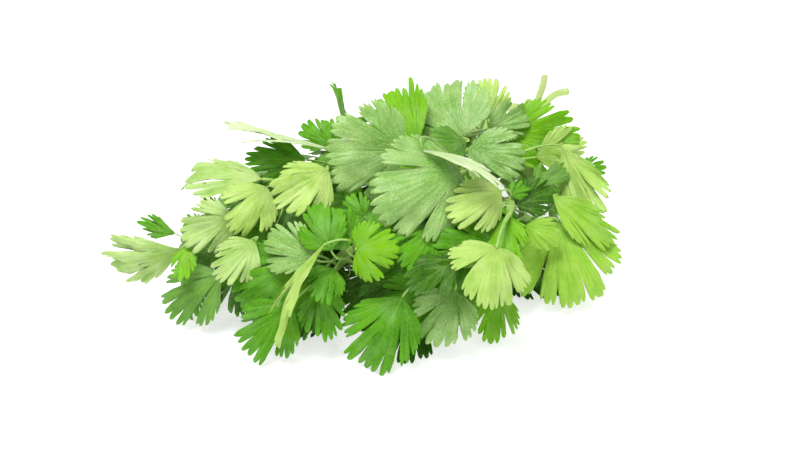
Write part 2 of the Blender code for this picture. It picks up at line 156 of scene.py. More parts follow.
# Teeth on each part of a lobe, for leaflets from small to large
PATTERNS = [(1, 1, 1), (1, 3, 1), (2, 2, 2), (2, 3, 2), (3, 3, 3), (3, 4, 3), (4, 4, 4), (4, 5, 4)]
LOBE_WIDTHS = ((0.85, 1.0), (0.95, 1.15), (0.85, 1.0))
LOBE_SIZES = (0.94, 1.04)
MIDDLE_LOBE = 1.03
SIDE_LOBES = (0.9, 1.0)
SUBLOBE_WIDTHS = (0.85, 1.15)
TEETH_TO_WIDTH = 0.75
SUBLOBE_SIZES = (0.95, 1.03)
OUTER_SUBLOBES = 0.97
TOOTH_WIDTHS = (0.8, 1.2)
MIDDLE_TOOTH = 1.15
LOBE_CUT = (0.30, 0.46)
SUBLOBE_CUT = (0.14, 0.27)
LONE_SUBLOBE_CUT = 0.04
TOOTH_CUT = (1.6, 2.7)
LEAST_TOOTH_CUT = 0.03
LOBE_FAN = (0.80, 0.95)
LOBE_CURL = (-0.13, 0.07)
LOBE_CUP = (-0.09, 0.05)
LOBE_CREASE = (-0.05, 0.11)
LOBE_SWIRL = 0.12
LOBE_ROUNDNESS = 18.0
SUBLOBE_ROUNDNESS = 8.0
TOOTH_ROUNDNESS = 2.8
QUILT_WIDTH = 1.7
QUILT_HEIGHT = 0.14
VEIN_WIDTH = 0.34
VEIN_TAPER = 0.5
VEIN_FADE = 0.55
VEIN_SINK = 0.08
VEIN_RIB = 0.30
RIB_TAPER = 0.7
LOBE_FORK = 0.24  # where the veins part, as a share of the blade's length
TOOTH_FORK = 0.58
FINE_SPREAD = 1.2
WIDEST_SPREAD = math.radians(112)
BLADE_REACH = 1.04
SIDE_DROP = 0.56
SIDE_DROP_POWER = 2.2
LOBE_BEND_START = 0.4
ROLL_HEIGHT = 0.02
ROLL_TURN = 7
SWELLS = 5
SWELL_LENGTHS = (7, 15)
SWELL_HEIGHT = 0.024
RUFFLE = 0.55
RUFFLES = ((17, 0.5), (31, 0.35))  # waves across the blade, height
# From here on, tables name the leaves without their leaf_
RUFFLED = {"far_left": 3.5, "front_left_rolled": 2.0}
# Blades seen along their edge hold their shape better than the others
STIFF = {"left_back_edge": 0.5, "top_folded": 0.15, "back_spike": 0.4}
DEEPLY_CUT = {
    "left_front": 0.42, "left_top_pale": 0.2, "left_pale": 0.15,
    "right_front_fan": 0.12, "top_fan": 0.1, "front_lime": 0.08,
    "front_centre": 0.08,
}
# Stalks that show as thicker than the others
THICK = {
    "front_lime": 1.6, "left_top_pale": 1.5, "left_top_long": 1.3,
    "right_front_fan": 1.4, "top_left_broad": 1.4,
}
RAYS_PER_TOOTH = 6
RINGS = 26
INNER_RINGS = 16
RING_CROWDING = 1.5  # rings lie closer together toward the base of the toothed part
BLADE_START = 0.4
BLADE_THICKNESS = 0.26
MARGIN_THICKNESS = 0.12
LOWEST_SKIN = 0.02

# The sprigs' skin
VOXEL = 0.36
LOWEST_SPRIG = 0.05

# The leaf skin
GLOSSY = 0.36  # leaf skin smoother than this gets a painted sheen: whitish specks and cells in a net between its veins
SHEEN_NET_CONTRAST = 0.55
SHEEN_PATCH_SHOW = 0.42  # patches of painted sheen, whitish
SHEEN_PATCH_TONE = 0.4
VEIN_SHOW = 0.3
STREAK_SHOW = 0.45  # painted shade in the furrows and painted highlight on the ridges of streaks that run out from the base to the teeth
STREAK_RELIEF = 5.0
STREAK_SQUEEZE = 0.12
NOISE_RANGE = 500  # each blade lies at its own place in the noise
PALE_END = (0.055, 0.110)  # the stems grow paler from here to their cut ends, m


def ramp(value, rate=1):
    """Rises with the value, up to 1."""
    return np.minimum(1, value * rate)


def unit(vector):
    return vector / np.linalg.norm(vector)


def jitter(draw, *ranges):
    """One number from each range, drawn in order."""
    return np.array([draw.uniform(*ends) for ends in ranges])


def edges_of(widths):
    """Where parts of these widths start and end, from 0 to 1."""
    return np.concatenate([[0], np.cumsum(widths / widths.sum())])


def lengths_along(route):
    """How far along the route each of its points lies."""
    return np.concatenate([[0], np.cumsum(np.linalg.norm(np.diff(route, axis=0), axis=1))])


def grid_faces(rings, rays):
    corner = np.arange(rings * rays).reshape(rings, rays)
    faces = np.stack([corner[:-1, :-1], corner[:-1, 1:], corner[1:, 1:], corner[1:, :-1]], -1)
    return corner, faces.reshape(-1, 4)


def show(name, data):
    """A new object in the scene."""
    thing = bpy.data.objects.new(name, data)
    bpy.context.scene.collection.objects.link(thing)
    return thing


class Leaf:
    """A leaflet's place and bends, laid out like the CAD's: its stalk ends at base."""

    def __init__(
        self, name, base, tip, spread, roll=0, bow=0.08, folds=(10, 15), colour="mid", face=FRONT
    ):
        self.name = name
        self.short = name.removeprefix("leaf_")
        self.base = np.array(base, float)
        self.axis = np.array(tip, float) - self.base
        self.length = float(np.linalg.norm(self.axis))
        self.axis /= self.length
        self.spread = math.radians(spread)
        self.bow = bow
        self.folds = [math.radians(fold) for fold in folds]
        self.colour = colour
        normal = unit(face - self.axis * face.dot(self.axis))
        side = np.cross(self.axis, normal)
        turn = math.radians(roll)
        self.normal = normal * math.cos(turn) + side * math.sin(turn)
        self.side = side * math.cos(turn) - normal * math.sin(turn)
        self.lift = face
        lively = bow > 0
        draw = random.Random(name)
        self.lobe_curl = [draw.uniform(-COARSE_CURL, COARSE_CURL) * lively for _ in range(3)]
        height = draw.uniform(*WAVE_HEIGHTS) * lively
        self.wave = (height, draw.uniform(*WAVE_TURNS), draw.uniform(0, math.tau))

    def outline(self, across):
        """Radius of the coarse outline, for across from -1 to 1."""
        lobed = 1 - NOTCH_DEPTH * (0.5 + 0.5 * np.cos(3 * math.pi * (across + 1)))
        return self.length * (COARSE_REACH - SIDE_LOSS * np.abs(across) ** 3) * lobed

    def place(self, radius, across, relief=0.0):
        """Points of flat polar places: radius from the base, across from -1 to 1 over the spread."""
        size = self.length
        reach = radius / size
        along = radius * np.cos(across * self.spread)
        sideways = radius * np.sin(across * self.spread)
        rise = np.choose(np.clip((across + 1) * 1.5, 0, 2).astype(int), self.lobe_curl)
        rise = rise * 2 * size * np.maximum(reach - CURL_START, 0) ** 2
        height, turns, phase = self.wave
        rise = rise + height * size * reach**2 * np.sin(across * turns * math.pi + phase) + relief
        # Each side of the midrib bends round an arc, then runs straight
        fold = np.where(sideways < 0, self.folds[0], self.folds[1]) + NO_BEND
        bend_width = size * BEND_WIDTH * (1 - np.abs(fold) / SHARPEST_FOLD)
        width = np.abs(sideways)
        angle = fold * np.minimum(width, bend_width) / bend_width
        straight = np.maximum(width - bend_width, 0)
        out = bend_width / fold * np.sin(angle) + straight * np.cos(fold) + rise * np.sin(angle)
        down = bend_width / fold * (1 - np.cos(angle)) + straight * np.sin(fold) - rise * np.cos(angle)
        out = out * np.sign(sideways)
        # The midrib is an arc whose ends are base and tip
        half_angle = 2 * math.atan(2 * self.bow) + NO_BEND
        arc_radius = size / 2 / math.sin(half_angle)
        turn = (2 * along / size - 1) * half_angle
        forward = size / 2 + (arc_radius - down) * np.sin(turn)
        high = (arc_radius - down) * np.cos(turn) - arc_radius * math.cos(half_angle)
        points = self.base + np.multiply.outer(forward, self.axis)
        points = points + np.multiply.outer(out, self.side) + np.multiply.outer(high, self.normal)
        points[..., 2] = np.maximum(points[..., 2], TABLE_GAP)
        return points

    def grid(self):
        """Points of the coarse blade, [ring, ray]."""
        across = np.linspace(-1, 1, COARSE_RAYS)
        share = np.linspace(0, 1, COARSE_RINGS)[:, None]
        radius = COARSE_START + (self.outline(across) - COARSE_START) * share
        return self.place(radius, np.broadcast_to(across, radius.shape))


# Name, base, tip, spread, roll, bow, folds, colour, face: those left out are as Leaf has them
LEAVES = [Leaf("leaf_" + name, *place) for name, *place in (
    # The darkest tone on these leaflets is painted shade
    ("bed_left", (-24, -12, 0.25), (-60, -34, 0.25), 59, 0, 0, (0, 0), "dark", UP),
    ("bed_front", (5, -21, 0.25), (1, -57, 0.25), 61, 0, 0, (0, 0), "dark", UP),
    ("bed_right", (44, 8, 0.25), (70, -14, 0.25), 59, 0, 0, (0, 0), "dark", UP),
    ("back_spike", (-24, 33, 53), (-29, 57, 60), 24, 78, 0.05, (5, 5)),
    ("left_back_shade", (-39, 7, 53), (-64, 8, 52), 41, 10, 0.08, (15, 10)),
    ("left_back_edge", (-28, 6, 58), (-72, 13, 62), 22, 80, 0.04, (10, 10), "pale"),
    ("left_inner", (-71, -27, 32), (-92, -16, 29), 56, 0, 0.08, (15, 15), "dull"),
    ("left_pale", (-67, -23, 45), (-87, -27, 40), 58, -10, 0.10, (15, 15), "pale"),
    ("left_top_pale", (-56, -9, 54), (-91, -1, 49), 34, 48, 0.06, (20, 20), "pale"),
    ("left_top_hanging", (-54, -13, 53), (-67, -34, 46), 50, -10, 0.10, (10, 20), "lime"),
    ("left_top_long", (-29, -11, 60), (-48, -30, 55), 51, 0, 0.08, (10, 25), "lime"),
    ("far_left", (-89, -24, 30), (-125, -8, 10), 25, -34, 0.05, (10, 55), "pale"),
    ("left_front", (-72, -36, 26), (-97, -34, 7), 48),
    ("middle_left_sheen", (-34, -45, 40), (-54, -35, 46), 51, 0, 0.08, (10, 15), "sheen"),
    ("middle_left_upper", (-27, -42, 42), (-35, -27, 53), 54, 0, 0.08, (15, 10)),
    ("middle_left_shade", (-37, -36, 34), (-64, -46, 17), 62, 0, 0.14, (10, 20)),
    ("front_left_low", (-35, -42, 23), (-43, -52, 7), 41, 0, 0.10, (10, 10), "dark"),
    ("front_left_lobed", (-33, -47, 28), (-28, -58, 12), 51, 0, 0.12),
    ("front_left_long", (-43, -53, 24), (-62, -58, 2), 50, 0, 0.10),
    ("front_left_rolled", (-30, -46, 48), (-51, -66, 15), 16, 62, 0.05, (5, 5), "pale"),
    ("middle_low", (-26, -46, 36), (-33, -58, 30), 60, 0, 0.10, (15, 10)),
    ("middle_upper", (-21, -44, 44), (-29, -31, 55), 54, 0, 0.08, (15, 10)),
    ("middle_bright", (-17, -48, 47), (0, -49, 48), 98, 0, 0.08, (10, 15), "bright"),
    ("centre_left", (3, -30, 46), (-9, -39, 46), 49),
    ("centre", (14, -31, 46), (1, -50, 41), 51),
    ("centre_right", (38, -32, 38), (15, -41, 46), 39),
    ("centre_shade", (22, -41, 36), (5, -56, 34), 46, 20, 0.08, (10, 15), "dark"),
    ("front_centre", (1, -51, 26), (-13, -65, 2), 52, 0, 0.14),
    ("front_right_sheen", (22, -47, 26), (13, -61, 9), 63, 0, 0.12, (10, 15), "sheen"),
    ("front_right_low", (40, -41, 22), (36, -50, 3), 49, 0, 0.10, (10, 15), "bright"),
    ("right_front_fan", (66, -6, 31), (71, -34, 5), 64, 0, 0.12, (10, 15), "bright"),
    ("right_front_narrow", (63, 3, 38), (87, -12, 24), 27, 0, 0.10, (10, 15), "bright"),
    ("right_long", (70, 33, 42), (83, -4, 27), 28, 30, 0.08, (10, 15), "lime"),
    ("right_back", (59, 40, 33), (82, 45, 37), 44, 10, 0.06, (10, 10), "lime"),
    ("right_inner_shade", (48, -9, 41), (64, 3, 41), 46, 0, 0.08, (10, 10), "dark"),
    ("right_curled", (51, -19, 38), (66, -22, 33), 44, 0, 0.12, (10, 10), "bright"),
    ("right_inner_lime", (41, -13, 51), (21, -31, 50), 44, 0, 0.10, (10, 10), "lime"),
    ("right_inner_bright", (43, -21, 44), (44, -41, 35), 41, 20, 0.10, (10, 10), "bright"),
    ("back_right_broad", (47, 50, 38), (77, 48, 39), 60, 0, 0.08, (10, 10), "bright"),
    ("top_right", (29, 18, 52), (51, 7, 48), 59, 0, 0.08, (10, 10), "sheen"),
    ("top_right_dull", (28, 21, 53), (9, 7, 55), 44, 0, 0.08, (10, 10), "dull"),
    ("top_bright", (8, 22, 51), (-5, 52, 59), 35, 0, 0.08, (10, 10), "bright"),
    ("top_fan", (27, 28, 51), (11, 56, 59), 72, 0, 0.08, (10, 10), "sheen"),
    ("back_right_lime", (38, 50, 46), (38, 64, 60), 60, 0, 0.08, (10, 10), "lime"),
    ("top_left_broad", (2, 3, 60), (-31, -3, 61), 84, 0, 0.08, (15, 15), "sheen"),
    ("top_front_broad", (24, -11, 60), (-8, -32, 55), 62, 0, 0.10, (15, 15), "sheen"),
    ("top_folded", (9, -5, 65), (40, -15, 57), 24, -74, 0.05, (5, 5), "pale"),
    ("front_lime", (38, -40, 42), (32, -63, 30), 90, 0, 0.10, (36, 12), "lime"),
)]

# Each sprig: its name, its stem's route from the cut end to the last leaf node, and its leaflets
# in order from the stem's end
SPRIGS = [
    ("sprig_far_left", [(39.5, 130, 1.9), (27.5, 90, 1.6), (-6, 45, 8), (-42, 6, 18), (-66, -20, 26)],
     ["far_left", "left_front", "left_inner"]),
    ("sprig_left_front", [(45, 134, 2.2), (33, 90, 1.6), (8, 40, 6), (-15, 0, 15), (-28, -30, 22)],
     ["front_left_long", "front_left_low", "middle_left_shade", "front_left_rolled",
      "bed_left"]),
    ("sprig_front", [(50, 129, 1.8), (38, 90, 1.6), (28, 45, 7), (22, 5, 14), (16, -32, 24)],
     ["front_centre", "front_right_sheen", "centre_shade", "centre", "bed_front"]),
    ("sprig_front_right",
     [(55.5, 133, 2.4), (43.5, 90, 1.6), (41, 50, 10), (44, 14, 28), (46, -6, 41), (45, -20, 47)],
     ["front_lime", "front_right_low", "centre_right", "right_inner_bright",
      "right_inner_lime"]),
    ("sprig_right", [(60, 130, 2), (48.5, 90, 1.6), (48, 55, 8), (52, 20, 20), (54, -2, 28)],
     ["right_front_fan", "right_front_narrow", "right_curled", "right_inner_shade",
      "bed_right"]),
    ("sprig_right_back",
     [(82, 139, 7), (74, 136, 6), (64, 120, 3), (53.5, 90, 2), (50, 66, 14), (48, 45, 28), (46, 34, 36)],
     ["right_long", "right_back", "back_right_broad", "back_right_lime",
      "top_right"]),
    ("sprig_left_top", [(41.5, 127, 8), (30, 90, 7), (0, 52, 20), (-28, 20, 36), (-46, 0, 46)],
     ["left_top_pale", "left_pale", "left_back_edge"]),
    ("sprig_left_upper", [(46.5, 131, 8), (35.2, 90, 7.2), (12, 54, 23), (-12, 24, 41), (-28, 4, 50)],
     ["left_top_long", "left_top_hanging", "left_back_shade"]),
    ("sprig_middle_left", [(51, 126, 8), (39.5, 90, 7), (19, 45, 15), (-2, 4, 24), (-20, -30, 34)],
     ["front_left_lobed", "middle_left_sheen", "middle_left_upper", "middle_low"]),
    ("sprig_middle", [(56, 124, 8), (45.5, 90, 7), (32, 48, 19), (16, 8, 30), (2, -20, 37)],
     ["middle_bright", "middle_upper", "centre_left"]),
    ("sprig_top", [(62, 128, 8), (50.5, 90, 7.5), (42, 56, 24), (30, 20, 40), (19, 0, 49)],
     ["top_front_broad", "top_left_broad", "top_folded"]),
    ("sprig_top_back",
     [(71, 151, 8), (68, 136, 8), (55.5, 92, 7.5), (40, 68, 28), (28, 44, 42), (19, 30, 48)],
     ["top_fan", "top_bright", "top_right_dull", "back_spike"]),
]

# Smaller leaflets that show between those of the frame
SMALL = [
    Leaf("small_back_left_1", (-25, 15, 57), (-31, 24, 62), 46),
    Leaf("small_back_left_2", (-28, 12, 57), (-42, 22, 61), 44),
    Leaf("small_left_1", (-73, -16, 42), (-81, -12, 45), 46),
    Leaf("small_left_2", (-79, -23, 38), (-88, -19, 42), 44),
    Leaf("small_left_3", (-92, -19, 34), (-107, -9, 32), 26),
    Leaf("small_left_4", (-86, -28, 34), (-88, -41, 28), 39, colour="bright"),
    Leaf("small_middle_1", (-14, -31, 51), (-22, -24, 56), 56),
    Leaf("small_right_1", (45, -9, 46), (52, -2, 47), 51),
    Leaf("small_right_2", (40, -13, 45), (31, -26, 41), 46, colour="dark"),
    Leaf("small_right_3", (55, 7, 39), (69, 19, 39), 44, colour="dull"),
    Leaf("small_top_1", (17, -6, 56), (0, -7, 61), 49, colour="bright"),
    Leaf("small_right_4", (77, 35, 29), (89, 35, 31), 46),
    Leaf("small_left_5", (-58, -30, 38), (-72, -42, 29), 50, colour="pale"),
    Leaf("small_right_5", (38, 47, 43), (56, 53, 47), 48, colour="sheen"),
    Leaf("small_left_6", (-50, -20, 40), (-68, -30, 30), 54, colour="mid"),
]


# ---- layout, as in the CAD source


def surface_tree(points):
    _, faces = grid_faces(*points.shape[:2])
    return BVHTree.FromPolygons(points.reshape(-1, 3).tolist(), faces.tolist())


def clearance(points, trees, reach):
    """Least distance from the points to any of the surfaces, or reach if none is that near."""
    least = reach
    for tree in trees:
        for point in points:
            distance = tree.find_nearest(Vector(point), least)[3]
            if distance is not None:
                least = min(least, distance)
    return least


def samples(points):
    """A blade's grid points and the middles of its quads and of their edges."""
    across = (points[:, 1:] + points[:, :-1]) / 2
    along = (points[1:] + points[:-1]) / 2
    middles = (along[:, 1:] + along[:, :-1]) / 2
    return np.concatenate([part.reshape(-1, 3) for part in (points, across, along, middles)])


def collides(own, tree, placed, gap):
    """Whether a blade crosses a placed one, or comes nearer to it than the gap."""
    low, high = own.min(axis=0) - gap, own.max(axis=0) + gap
    for other_points, other_tree in placed:
        near = other_points[((other_points > low) & (other_points < high)).all(axis=1)]
        if not len(near):
            continue
        if tree.overlap(other_tree) or clearance(own, [other_tree], gap) < gap:
            return True
        if clearance(near, [tree], gap) < gap:
            return True
    return False


def settle(leaf, placed, gap, steps, stems=np.empty((0, 3))):
    """Moves a blade along its lift until it clears the others, and says whether it found room."""
    start = leaf.base.copy()
    for step in range(steps):
        leaf.base = start + leaf.lift * step * LIFT_STEP
        points = leaf.grid()
        tree = surface_tree(points)
        own = samples(points)
        near = stems[((stems > own.min(axis=0)) & (stems < own.max(axis=0))).all(axis=1)]
        if clearance(near, [tree], STEM_GAP) < STEM_GAP:
            continue
        if not collides(own, tree, placed.values(), gap):
            placed[leaf.name] = (own, tree)
            return True
    return False


def catmull_rom(stops, spacing):
    """Points about this far apart on a smooth curve through the stops."""
    stops = np.array(stops, float)
    padded = np.vstack([2 * stops[0] - stops[1], stops, 2 * stops[-1] - stops[-2]])
    route = []
    for a, b, c, d in zip(padded, padded[1:], padded[2:], padded[3:]):
        count = max(2, round(np.linalg.norm(c - b) / spacing))
        for t in np.arange(count) / count:
            route.append(0.5 * (2 * b + (c - a) * t + (2 * a - 5 * b + 4 * c - d) * t**2
                                + (3 * b - a - 3 * c + d) * t**3))
    return np.array(route + [stops[-1]])


def bezier(start, start_pull, end_pull, end, count):
    t = np.linspace(0, 1, count)[:, None]
    s = 1 - t
    return s**3 * start + 3 * s**2 * t * start_pull + 3 * s * t**2 * end_pull + t**3 * end


def petiole_air(points, leaf, trees, tubes):
    """How much more room a petiole has than it needs: negative where it comes too near the rest."""
    need = PETIOLE_RADIUS + SOLID_THICKNESS / 2 + TUBE_GAP
    others = [tree for name, tree in trees.items() if name != leaf.name]
    air = clearance(points, others, need) - need
    air = min(air, clearance(points[:-5], [trees[leaf.name]], need) - need)
    for middles, radii in tubes:
        gaps = np.linalg.norm(points[:, None] - middles[None], axis=2) - radii[None]
        air = min(air, gaps.min() - PETIOLE_RADIUS - TUBE_GAP)
    return air


def petiole_route(start, heading, leaf, trees, tubes, bulges=BULGES, pulls=PULLS):
    """The straightest curve from stem to leaflet that clears the blades and the other sprigs."""
    end = leaf.base + leaf.axis * PETIOLE_OVERRUN
    span = float(np.linalg.norm(end - start))
    sidestep = np.cross(heading, UP)
    ways = (-UP, UP, sidestep, -sidestep, -leaf.normal, leaf.normal, -FRONT)
    best, best_air = None, -math.inf
    for bulge, way, pull in itertools.product(bulges, ways, pulls):
        pulled_start = start + (heading * pull + way * bulge) * span
        pulled_end = end + (way * bulge - leaf.axis * pull) * span
        fine = bezier(start, pulled_start, pulled_end, end, FINE_POINTS)
        if fine[:, 2].min() < LOWEST_PETIOLE:
            continue
        air = petiole_air(fine[2:], leaf, trees, tubes)
        if air > best_air:
            best, best_air = fine, air
        if air >= 0:
            break
    return best


def places_at(route, steps, at):
    return np.stack([np.interp(at, steps, route[:, i]) for i in range(3)], -1)


def dense(route, radii):
    """The route's points and radii about 1 mm apart, for distances."""
    steps = lengths_along(route)
    at = np.linspace(0, steps[-1], int(steps[-1]) + 2)
    return places_at(route, steps, at), np.interp(at, steps, radii)


def point_back(route, distance):
    """The point this far back from the end of the route, and the way the route runs there."""
    back = route[::-1]
    place, behind = (places_at(back, lengths_along(back), at) for at in (distance, distance + 3))
    return place, unit(place - behind)


def not_of(name, tubes):
    """The tubes of all the other sprigs."""
    return [tube for other, made in tubes.items() if other != name for tube in made]


def stem_radii(route):
    return np.linspace(CUT_RADIUS, NODE_RADIUS, len(route))


def layout():
    """Places every blade, and finds each sprig's routes and radii, its stem first."""
    placed = {}
    for leaf in LEAVES:
        settle(leaf, placed, BLADE_GAP, LIFT_STEPS)
    trees = {name: tree for name, (_, tree) in placed.items()}
    leaf_of = {leaf.short: leaf for leaf in LEAVES}
    stems = {name: catmull_rom(stops, POINT_SPACING) for name, stops, _ in SPRIGS}
    tubes = {name: [dense(route, stem_radii(route))] for name, route in stems.items()}
    stalks = {}
    for name, stops, fed in SPRIGS:
        fine = catmull_rom(stops, STEM_STEP)
        stalks[name] = [(fine, stem_radii(fine))]
        for order, short in enumerate(fed):
            start, heading = point_back(stems[name], FIRST_BRANCH + order * BRANCH_SPACING)
            way = petiole_route(start, heading, leaf_of[short], trees, not_of(name, tubes))
            tubes[name].append(dense(way, np.full(len(way), PETIOLE_RADIUS)))
            stalks[name].append((way, petiole_radii(way) * THICK.get(short, 1)))
    for leaf in SMALL:
        settle(leaf, placed, FILLER_GAP, LIFT_STEPS)
    middles = np.concatenate([middles for made in tubes.values() for middles, _ in made])
    found = [leaf for leaf in inner_leaves() if settle(leaf, placed, FILLER_GAP, FILLER_STEPS, middles)]
    trees = {name: tree for name, (_, tree) in placed.items()}
    shown = []
    for leaf in SMALL + found:
        name, start, heading = nearest_stem(leaf, stems)
        others = not_of(name, tubes)
        way = petiole_route(start, heading, leaf, trees, others, FILLER_BULGES, FILLER_PULLS)
        if within_edges(way) or leaf in SMALL:
            stalks[name].append((way, petiole_radii(way) * FILLER_PETIOLE))
            shown.append(leaf)
    return stalks, shown


def inner_leaves():
    """Leaflets spread over shells inside the bunch, and over its far side."""
    draw = random.Random(FILLER_SEED)
    made = []
    for shell, (count, share, lowest, tones, lift) in enumerate(SHELLS):
        for number in range(count):
            height = lowest + (SHELL_TOP - lowest) * (number + 0.5) / count
            angle = number * GOLDEN_ANGLE + shell
            level = math.sqrt(1 - height**2)
            outward = np.array([level * math.cos(angle), level * math.sin(angle), height])
            if shell == REAR_SHELL and outward[1] < REAR_START:
                continue
            point = MOUND_CENTRE + MOUND_SIZE * outward * share * draw.uniform(*SHELL_JITTER)
            normal = unit(unit(outward / MOUND_SIZE) + jitter(draw, *SHELL_TILT))
            away = point - ROOT
            away = unit(away - normal * away.dot(normal))
            away = unit(away + np.cross(normal, away) * draw.uniform(*SHELL_SWERVE))
            length = draw.uniform(*SHELL_LENGTHS)
            base = point - away * length / 2
            leaf = Leaf(
                f"inner_{shell}_{number}", base, base + away * length, draw.uniform(*SHELL_SPREADS),
                bow=draw.uniform(*SHELL_BOWS), folds=jitter(draw, SHELL_FOLDS, SHELL_FOLDS),
                colour=draw.choice(tones), face=normal,
            )
            leaf.lift = normal * lift
            if leaf.grid()[..., 2].min() > LOWEST_FILLER and within_edges(leaf.grid()):
                made.append(leaf)
    # The bed under the bunch: leaflets of the darkest tone, as painted shade beneath it
    for number in range(BED_LEAVES):
        share, angle = math.sqrt((number + 0.5) / BED_LEAVES), number * GOLDEN_ANGLE
        spot = BED_CENTRE + BED_SIZE * np.array([math.cos(angle), math.sin(angle), 0]) * share
        spot[2] = draw.uniform(*BED_HEIGHTS)
        away = (spot - ROOT) * (1, 1, 0)
        away = unit(unit(away) + np.append(jitter(draw, BED_SWERVE, BED_SWERVE), 0))
        length = draw.uniform(*BED_LENGTHS)
        base = spot - away * length / 2 + UP * BED_RISE
        face = unit(np.append(jitter(draw, *BED_TILT), 1.0))
        spread = draw.uniform(*BED_SPREADS)
        leaf = Leaf(f"bed_{number}", base, base + away * length, spread, colour="dark", face=face)
        if within_edges(leaf.grid()):
            made.append(leaf)
    return made


def within_edges(points):
    """Whether points keep behind the edges that the bunch has from the front."""
    points = points.reshape(-1, 3)
    scale = 1 + (points @ EYE_WAY - EYE_WAY[2] * LOOK_HEIGHT) / EYE_DISTANCE
    across = points[:, 0] * scale
    high = (points[:, 1] * EYE_WAY[2] - (points[:, 2] - LOOK_HEIGHT) * EYE_WAY[1]) * scale
    top = np.interp(across, *TOP_EDGE.T, left=-NO_EDGE, right=-NO_EDGE)
    low = np.interp(across, *LOW_EDGE.T, left=NO_EDGE, right=NO_EDGE)
    return bool((high < top - EDGE_MARGIN).all() and (high > low + EDGE_MARGIN).all())


def petiole_radii(route):
    """A petiole is thickest where it leaves the stem."""
    return PETIOLE_RADIUS * np.interp(np.linspace(0, 1, len(route)), *PETIOLE_PROFILE)


def nearest_stem(leaf, stems):
    """The sprig whose upper stem is nearest to a leaflet's base, and the point and heading there."""
    best = None
    for name, route in stems.items():
        for back in BRANCH_PLACES:
            start, heading = point_back(route, back)
            away = leaf.base - start
            distance = np.linalg.norm(away)
            cost = distance - AHEAD_PULL * heading.dot(away) / (distance + 1)
            if best is None or cost < best[0]:
                best = (cost, name, start, heading)
    return best[1:]


# ---- blades


class Margin:
    """The toothed outline of a blade: three lobes, each of smaller ones, each with teeth."""

    def __init__(self, leaf):
        draw = random.Random(leaf.name + " margin")
        size = leaf.length
        self.spread = min(leaf.spread * (FINE_SPREAD if leaf.bow else 1), WIDEST_SPREAD)
        wanted = 2 * self.spread * size * TOOTHED_RADIUS / TOOTH_WIDTH / 3
        pattern = next(counts for counts in PATTERNS if sum(counts) >= wanted or counts is PATTERNS[-1])
        lobe_edges = edges_of(jitter(draw, *LOBE_WIDTHS)) * 2 - 1
        self.bounds, self.veins, self.teeth = [-1.0], [], []
        for lobe in range(3):
            start, end = lobe_edges[lobe], lobe_edges[lobe + 1]
            cut = draw.uniform(*LOBE_CUT) + DEEPLY_CUT.get(leaf.short, 0)
            lobe_size = draw.uniform(*LOBE_SIZES)
            lobe_size *= MIDDLE_LOBE if lobe == 1 else draw.uniform(*SIDE_LOBES)
            sub_widths = jitter(draw, *[SUBLOBE_WIDTHS] * 3) * np.array(pattern) ** TEETH_TO_WIDTH
            sub_edges = start + (end - start) * edges_of(sub_widths)
            for sub, count in enumerate(pattern):
                low, high = sub_edges[sub], sub_edges[sub + 1]
                sub_cut = draw.uniform(*SUBLOBE_CUT) if count > 1 else LONE_SUBLOBE_CUT
                sub_size = lobe_size * draw.uniform(*SUBLOBE_SIZES)
                sub_size *= 1 if sub == 1 else OUTER_SUBLOBES
                widths = jitter(draw, *[TOOTH_WIDTHS] * count)
                widths[count // 2] *= MIDDLE_TOOTH
                edges = low + (high - low) * edges_of(widths)
                for left, right in zip(edges, edges[1:]):
                    depth = draw.uniform(*TOOTH_CUT) / size + LEAST_TOOTH_CUT
                    self.teeth.append((start, end, cut, low, high, sub_cut, sub_size, depth))
                    self.bounds.append(right)
                    self.veins.append(((start + end) / 2, (low + high) / 2, (left + right) / 2))
        self.bounds = np.array(self.bounds)
        self.bounds[-1] = 1.0
        self.teeth = np.array(self.teeth)
        self.size = size
        self.lobe_edges = lobe_edges
        self.fork = float(self.radius(lobe_edges[1:3]).min())
        self.curl, self.cup, self.crease = (
            [size * draw.uniform(*ends) for _ in range(3)] for ends in (LOBE_CURL, LOBE_CUP, LOBE_CREASE)
        )
        self.swirl = draw.uniform(-LOBE_SWIRL, LOBE_SWIRL)
        self.fan = draw.uniform(*LOBE_FAN)

    def rays(self):
        """Across values, closer together near the notches."""
        bend = np.sin(np.linspace(-0.5, 0.5, RAYS_PER_TOOTH + 1)[:-1] * math.pi) / 2 + 0.5
        starts, widths = self.bounds[:-1], np.diff(self.bounds)
        return np.append((starts[:, None] + widths[:, None] * bend).ravel(), 1.0)

    def radius(self, across):
        """How far the margin lies from the base."""
        tooth = np.clip(np.searchsorted(self.bounds, across, side="right") - 1, 0, len(self.teeth) - 1)
        start, end, cut, sub_start, sub_end, sub_cut, scale, depth = self.teeth[tooth].T

        def off_middle(low, high):
            return np.minimum(np.abs(2 * (across - low) / (high - low) - 1), 1)

        lobe = 1 - cut * off_middle(start, end) ** LOBE_ROUNDNESS
        sub = 1 - sub_cut * off_middle(sub_start, sub_end) ** SUBLOBE_ROUNDNESS
        teeth = 1 - depth * off_middle(self.bounds[tooth], self.bounds[tooth + 1]) ** TOOTH_ROUNDNESS
        drop = SIDE_DROP * np.abs(across) ** SIDE_DROP_POWER
        return self.size * (BLADE_REACH - drop) * scale * lobe * sub * teeth


def lobes_of(margin, across):
    """Number of the lobe, its middle, and the place across it from -1 to 1."""
    lobe = np.clip(np.searchsorted(margin.lobe_edges, across, side="right") - 1, 0, 2)
    start, end = margin.lobe_edges[lobe], margin.lobe_edges[lobe + 1]
    middle = (start + end) / 2
    return lobe, middle, (across - middle) / (end - start) * 2


def flatten(margin, radius, across):
    """Flat places on the blade: past the fork of the lobes, a lobe's teeth lean to its own middle."""
    _, middle, _ = lobes_of(margin, across)
    past = np.maximum(radius - margin.fork, 0)
    angle = across * margin.spread
    lean = (middle + (across - middle) * margin.fan + margin.swirl * past / margin.size) * margin.spread
    along = (radius - past) * np.cos(angle) + past * np.cos(lean)
    sideways = (radius - past) * np.sin(angle) + past * np.sin(lean)
    return along, sideways


